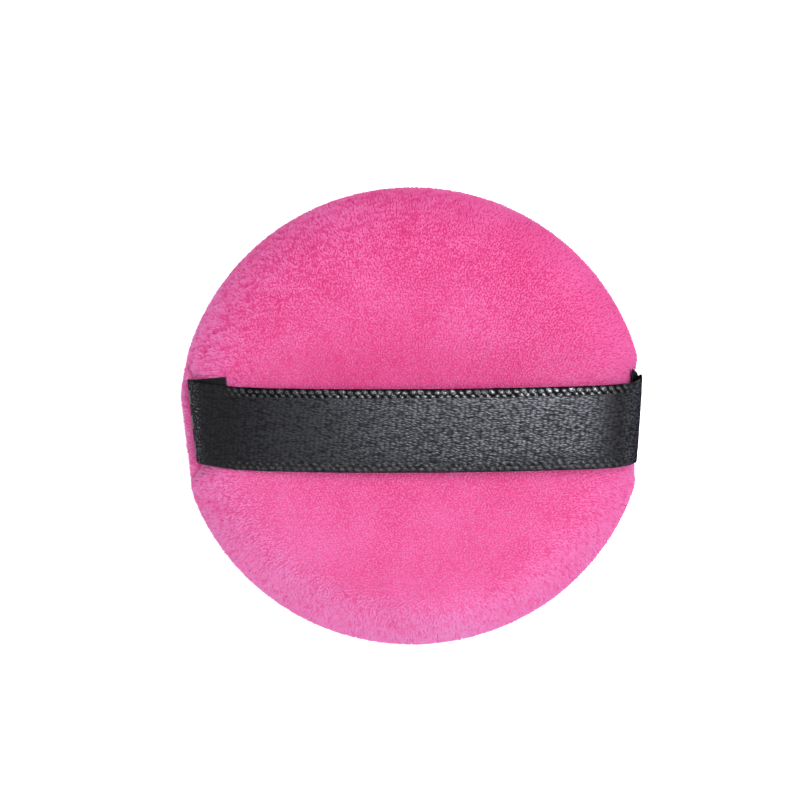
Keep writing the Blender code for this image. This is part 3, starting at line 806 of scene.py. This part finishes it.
def slubs(along, across, folds):
    # Two staggered rows of slanted ovals along each edge, each a little off its place: with a and b along and
    # across a slub, exp(-((a / long)^2 + (b / wide)^2)^1.6). They press flat towards the folds.
    half = ribbon["width"] / 2
    total = np.zeros(np.broadcast(along, across).shape)
    random = np.random.default_rng(31).uniform(-1, 1, (4, 4, 256))
    for row, (inset, long, wide) in enumerate(ribbon["slubRows"]):
        cell = along / ribbon["slubPitch"] + 0.5 * row
        number = np.floor(cell).astype(int) % 256
        for edge, sign in enumerate((-1, 1)):
            offX, offY, grown, turned = random[:, 2 * row + edge, number]
            du = (cell - np.floor(cell) - 0.5 + 0.1 * offX) * ribbon["slubPitch"]
            dv = across - sign * (half - inset + 0.09 * mm * offY)
            turn = 0.4 + 0.4 * turned
            a = du * np.cos(turn) - dv * np.sin(turn)
            b = du * np.sin(turn) + dv * np.cos(turn)
            size = 1 + 0.15 * grown
            oval = np.exp(-((a / (long * size)) ** 2 + (b / (wide * size)) ** 2) ** 1.6)
            total = np.maximum(total, oval * (0.85 + 0.15 * offY))
    return total * offFolds(along, folds, ribbon["slubFade"])


def bothSides(part):
    # Values for the upper row of points, and again for the lower one, which runs back.
    return np.concatenate([part, part[:, ::-1]], axis=1)


def ribbonUv(rows, columns, across):
    # Bake map: half of the ribbon's length lies over the other half, each 0.48 high, and the caps are in a row
    # over both.
    row, column = np.meshgrid(np.arange(rows - 1), np.arange(columns), indexing="ij")
    parts = 2
    perPart = (rows - 1) // parts + 1
    part, inPart = row // perPart, row % perPart

    def uvAt(dRow, dColumn):
        u = (inPart + dRow) / perPart * 0.98 + 0.01
        v = (part + 0.01 + 0.96 * (column + dColumn) / columns) / parts
        return joined(u, v)

    sides = np.stack([uvAt(0, 0), uvAt(0, 1), uvAt(1, 1), uvAt(1, 0)], axis=2).reshape(-1, 4, 2)[:, ::-1]
    k = np.tile(np.arange(across - 1), 2) / across
    caps = np.empty((len(k), 4, 2))
    caps[:, :, 0] = joined(k, k + 1 / across, k + 1 / across, k) * 0.98
    caps[:, :, 1] = (0.9905, 0.9905, 0.9985, 0.9985)
    return np.concatenate([sides, caps])


def makeRibbon():
    # Cross-sections along the middle line: an upper and a lower row of points across the ribbon, each off the
    # middle by half the thickness, the relief and crown * (1 - (distance from the middle / half width) ^ power).
    line, skew, middle, along, folds = ribbonLine()
    half = ribbon["width"] / 2
    inner = half - ribbon["selvedge"]
    across = np.concatenate([np.linspace(-half, -inner, 17)[:-1], np.linspace(-inner, inner, 33)[:-1],
                             np.linspace(inner, half, 17)])
    tangent = unit(np.gradient(line, axis=0))
    normal = joined(-tangent[:, 1], tangent[:, 0])
    uGrid, vGrid = np.meshgrid(along, across, indexing="ij")
    blob = slubs(uGrid, vGrid, folds)
    selvedgeZone, paleZone = (smoothStep(*fade, np.abs(vGrid) - inner) for fade in ribbon["selvedgeFades"])
    edge = np.sqrt(np.clip(1 - (np.abs(vGrid) / half) ** 40, 0.02, 1))
    weave = ribbon["weave"] * valueNoise(uGrid, vGrid, ribbon["weaveSize"], 21)
    slubHalf = ribbon["selvedgeHalf"] + ribbon["slubHeight"] * blob
    thick = (ribbon["satinHalf"] * (1 - selvedgeZone) + selvedgeZone * slubHalf) * edge + weave * (1 - selvedgeZone)
    crowned = ribbon["crown"] * (1 - np.abs(vGrid / half) ** ribbon["crownPower"])
    raised = smoothStep(*ribbon["crownFrom"], line[:, 1])[:, None] * crowned
    dropping = (1 - smoothStep(*ribbon["flareHeights"], line[:, 1])) * (line[:, 0] > 0)
    flare = ribbon["flare"] * dropping * smoothStep(0, ribbon["flareFold"], folds[1] - along)
    off = bothSides(raised) + np.concatenate([thick, -thick[:, ::-1]], axis=1)
    w = bothSides(vGrid)
    loop = joined(line[:, :1] + off * normal[:, :1] - skew[:, None] * w,
                  middle[:, None] + w + flare[:, None] * np.clip(w / half, 0, 1) ** 2,
                  line[:, 1:] + off * normal[:, 1:])
    rows, columns = loop.shape[:2]
    quads = gridQuads(rows, columns, closed=True)[:, ::-1]
    n = len(across)
    j = np.arange(n - 1)
    cap = joined(j, j + 1, columns - 2 - j, columns - 1 - j)
    caps = np.concatenate([cap, cap[:, ::-1] + (rows - 1) * columns])
    underside = np.concatenate([np.zeros_like(uGrid), np.full_like(uGrid, 0.01)], axis=1)
    cloth = joined(bothSides(uGrid), w, underside)
    # Painted shade: the edge at -Y gets less of the slubs' paleness and of the gaps' black.
    shadedEdgeShare = np.where(vGrid < 0, ribbon["lowerSlubShade"], 1)
    nearFold = 1 - smoothStep(*ribbon["foldFade"], line[:, :1] - line[:, 0].min())
    values = {
        "slub": blob * selvedgeZone * shadedEdgeShare,
        "selvedge": paleZone * offFolds(uGrid, folds, ribbon["slubFade"]) * shadedEdgeShare,
        "pressedAndShaded": 1 - offFolds(uGrid, folds, ribbon["pressShadeFade"], ribbon["pressShadeSlant"] * vGrid),
        "fold": np.broadcast_to(nearFold, vGrid.shape),
    }
    values = {word: bothSides(part).ravel() for word, part in values.items()}
    made = makePiece("ribbon", loop.reshape(-1, 3), np.concatenate([quads, caps]),
                     quadUv=ribbonUv(rows, columns, n), values={"cloth": cloth.reshape(-1, 3), **values})
    return made, along[-1], line


strap, ribbonLength, strapLine = makeRibbon()
finish(strap, None, "satin_ribbon", satinFinish, "strap_span", "strap_left_end", "strap_right_end")
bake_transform(strap)
print("ribbon made", round(ribbonLength / mm, 1), "mm long,", len(strap.data.polygons), "faces")

# Threads and foam

thread = {
    "radius": 0.15 * mm,
    "lay": 0.9 * mm,  # length in which a ply goes once round
    "step": 0.12 * mm,
    "sides": 10,
    "stitches": 48,
    "closedByHand": range(32, 41),
    "stitchInset": 0.75 * mm,
    "loopHalves": (0.42 * mm, 0.2 * mm),  # half its width on the allowance and at its foot
    "runHeight": 1.32 * mm,
    "handTail": 1.2 * mm,
    "tackHoles": 6,
    "tackPitch": 2.2 * mm,
    "tackHeight": 10.6 * mm,
    "tackTail": 0.9 * mm,
    "sunk": 0.27 * mm,  # the tacks' middle over the ribbon's, measured along X
}


def makeThread(name, corners, reference, slot, material, *nodes):
    # Two plies along a rounded line: at turn t and length s the radius is r (0.8 + 0.2 |cos(t - pi s / lay)|).
    # reference is never along the line: a direction, or None for the way out from the axis.
    corners = np.array(corners)
    length = runLength(corners)
    even = np.linspace(0, length[-1], int(length[-1] / thread["step"]))
    line = joined(*(np.interp(even, length, places) for places in corners.T))
    padded = np.vstack([line[:1], line[:1], line, line[-1:], line[-1:]])
    line = (padded[:-4] + 2 * padded[1:-3] + 3 * padded[2:-2] + 2 * padded[3:-1] + padded[4:]) / 9
    tangent = unit(np.gradient(line, axis=0))
    away = unit(line * (1, 1, 0)) if reference is None else np.broadcast_to(reference, line.shape)
    first = unit(away - tangent * (away * tangent).sum(axis=1, keepdims=True))
    second = np.cross(tangent, first)
    turn = np.arange(thread["sides"]) / thread["sides"] * 2 * math.pi
    ply = np.abs(np.cos(turn[None, :] - math.pi * even[:, None] / thread["lay"]))
    radius = thread["radius"] * (0.8 + 0.2 * ply)
    rings = (line[:, None] + first[:, None] * (radius * np.cos(turn))[..., None]
             + second[:, None] * (radius * np.sin(turn))[..., None])
    points = np.concatenate([rings.reshape(-1, 3), line[:1], line[-1:]])
    made = makePiece(name, points, *tubeFaces(len(line), thread["sides"]),
                     values={"ply": np.concatenate([ply.ravel(), [0.5, 0.5]])})
    return finish(made, "puff", slot, material, *nodes)


def seamPoint(stitch, along, height):
    # A place on the stitch line, from a distance along the seam and a height over its plane: radius times the
    # stitch's direction plus the distance times the direction square to it.
    angle = 2 * math.pi * (stitch + 0.5) / thread["stitches"]
    radius = min(foldRadius(angle, backPanel), foldRadius(angle, facePanel)) - thread["stitchInset"]
    return (radius * math.cos(angle) - along * math.sin(angle), radius * math.sin(angle) + along * math.cos(angle),
            puff["seamHeight"] + height)


def machineCorners(side):
    # The thread lies on one allowance and dips into each hole to the other thread's loop.
    byHand = thread["closedByHand"]
    foot = side * (puff["gap"] / 2 + thread["radius"])
    run = side * thread["runHeight"]
    above, below = thread["loopHalves"]
    return [seamPoint(byHand.stop + step, along, height) for step in range(thread["stitches"] - len(byHand))
            for along, height in ((-above, run), (-below, foot), (below, foot), (above, run))]


def handCorners():
    # A running stitch through both allowances.
    byHand, run = thread["closedByHand"], thread["runHeight"]
    corners = [seamPoint(byHand.start, -thread["handTail"], run)]
    side = 1
    for stitch in byHand:
        corners += [seamPoint(stitch, 0, side * run), seamPoint(stitch, 0, -side * run)]
        side = -side
    return corners + [seamPoint(byHand[-1], thread["handTail"], side * run)]


def tackCorners(side):
    # On the ribbon between every other pair of holes, and behind the panel between the rest.
    heldAt, lean = backPanel["held"][side]
    up = math.acos((thread["tackHeight"] - rimLevel) / (backPanel["reach"] - puff["wall"]))
    behind = (heldAt - puff["wall"]) * math.sin(up) ** (2 / backPanel["squareness"])
    inside = behind - 2 * puff["gap"] - thread["radius"]
    outer = strapLine[(strapLine[:, 0] * side > heldAt) & (strapLine[:, 1] > rimLevel)]
    outer = outer[np.abs(outer[:, 0]) > np.abs(outer[:, 0]).max() - 1.2 * mm]
    outer = outer[np.argsort(outer[:, 1])]
    outside = abs(np.interp(thread["tackHeight"], outer[:, 1], outer[:, 0])) + thread["sunk"]
    middle = puff["strapEnd"][side]
    fromFirst = np.arange(thread["tackHoles"]) - (thread["tackHoles"] - 1) / 2
    holes = middle + fromFirst * thread["tackPitch"]

    def place(fromMiddle, y):
        return side * (fromMiddle + lean * (y - middle)), y, thread["tackHeight"]

    corners = [place(inside, holes[0] - thread["tackTail"])]
    for number, y in enumerate(holes):
        ends = [place(inside, y), place(outside, y)]
        corners += ends if number % 2 == 0 else ends[::-1]
    return corners + [place(inside, holes[-1] + thread["tackTail"])]


for name, corners, node in (("needle_thread", machineCorners(1), "seam_needle_thread"),
                            ("bobbin_thread", machineCorners(-1), "seam_bobbin_thread"),
                            ("hand_thread", handCorners(), "closing_thread")):
    makeThread(name, corners, None, "pink_thread", pinkThreadFinish, node)
for name, side in (("tack_left", -1), ("tack_right", 1)):
    makeThread(name, tackCorners(side), (0, 0, 1), "black_thread", blackThreadFinish, "strap_" + name)
print("threads made")

foam = {
    "columns": 240,
    "rings": 26,
    "grooveHalf": 1.95 * mm,
    "lip": 0.5 * mm,
    "recess": 1.0 * mm,  # under the tacks
    "rough": 0.06 * mm,
    "grain": (0.8 * mm, 0.8 * mm),
    "aroundAxis": 32 * mm,  # length of the rough pattern for each radian
}


def makeFoam():
    # Two superellipse domes as in panelProfile, each 1.6 mm inside its panel, with a groove between them for the
    # seam allowances.
    angle = np.arange(foam["columns"]) / foam["columns"] * 2 * math.pi
    inside = puff["wall"] + puff["gap"]
    grooveOut = creaseRadius(angle) - puff["lapDepth"] - puff["gap"]
    rings = []
    for panel in (backPanel, facePanel):
        side = panel["side"]
        radius = rimRadius(angle, panel) - inside - (side > 0) * foam["recess"]
        reach = panel["reach"] - inside
        last = math.acos((foam["grooveHalf"] + foam["lip"] - puff["rimHeight"]) / reach)
        half = []
        for turn in np.linspace(0, last, foam["rings"])[1:]:
            up = puff["rimHeight"] + min(reach * math.cos(turn), panel["floor"] - inside)
            half.append((radius * math.sin(turn) ** (2 / panel["squareness"]), side * up))
        half += [(half[-1][0], side * foam["grooveHalf"]), (grooveOut, side * foam["grooveHalf"])]
        rings += half if side > 0 else half[::-1]
    out = np.array([ring[0] for ring in rings])
    up = np.array([np.full(foam["columns"], ring[1]) for ring in rings])
    out = out - foam["rough"] * (1 + valueNoise(out, angle * foam["aroundAxis"] + up, foam["grain"], 41))
    points = fromAxis(out, angle, puff["seamHeight"] + up).reshape(-1, 3)
    points = np.concatenate([points, [(0, 0, points[0, 2]), (0, 0, points[-1, 2])]])
    return makePiece("foam", points, *(faces[:, ::-1] for faces in tubeFaces(len(rings), foam["columns"])))


finish(makeFoam(), "puff", "foam", foamFinish, "foam_core")
print("foam made")

# Camera, floor and light

view = {
    "distance": 0.5,
    "width": 0.1394,  # what the picture is wide at the rim
    "sensor": 36,
    "tilt": 8.3 * degree,
    "target": (-2.13 * mm, 3.2 * mm, 8.0 * mm),
}
studio = {
    "lights": {"key": ((0.20, 0.16, 0.80), 0.45, 5.25), "fill": ((0.30, -0.60, 0.35), 0.5, 0.75),
               "left": ((-0.60, -0.55, 0.14), 0.5, 1.8)},  # place, size and energy
    "world": 0.42,
    "floorSize": 3.0,
    "floorGlow": (0.3, 1.0),  # what the floor adds to the light, and what the camera sees
}


def addCamera():
    data = bpy.data.cameras.new("camera")
    data.sensor_width = view["sensor"]
    data.lens = view["sensor"] * view["distance"] / view["width"]
    made = addObject("camera", data)
    x, y, z = view["target"]
    made.location = (x, y + view["distance"] * math.sin(view["tilt"]), z + view["distance"] * math.cos(view["tilt"]))
    made.rotation_euler = (-view["tilt"], 0, 0)
    bpy.context.scene.camera = made


def areaLight(name, place, size, energy):
    # A round light that faces the middle of the scene.
    data = bpy.data.lights.new(name, "AREA")
    data.shape = "DISK"
    data.size = size
    data.energy = energy
    made = addObject(name, data)
    made.location = place
    made.rotation_euler = (0, math.acos(place[2] / math.hypot(*place)), math.atan2(place[1], place[0]))


def addFloor():
    made, tree, shader = newMaterial("floor", {"Base Color": (0.9, 0.9, 0.9, 1), "Roughness": 0.9,
                                               "Specular IOR Level": 0.0, "Emission Color": (1, 1, 1, 1)})
    seen = addNode(tree, "LightPath").outputs["Is Camera Ray"]
    feed(tree, shader, "Emission Strength", mapRange(tree, seen, 0.0, 1.0, *studio["floorGlow"]))
    size = studio["floorSize"]
    corners = np.array([(-size, -size, 0), (size, -size, 0), (size, size, 0), (-size, size, 0)])
    floor = makePiece("floor", corners, np.array([[0, 1, 2, 3]]))
    floor.data.materials.append(made)


addCamera()
addFloor()
for name, (place, size, energy) in studio["lights"].items():
    areaLight(name, place, size, energy)
world = bpy.data.worlds.new("studio")
world.use_nodes = True
background = world.node_tree.nodes["Background"]
background.inputs["Color"].default_value = (1, 1, 1, 1)
background.inputs["Strength"].default_value = studio["world"]
bpy.context.scene.world = world
bpy.context.scene.view_settings.view_transform = "Standard"
print("camera, floor and light made")
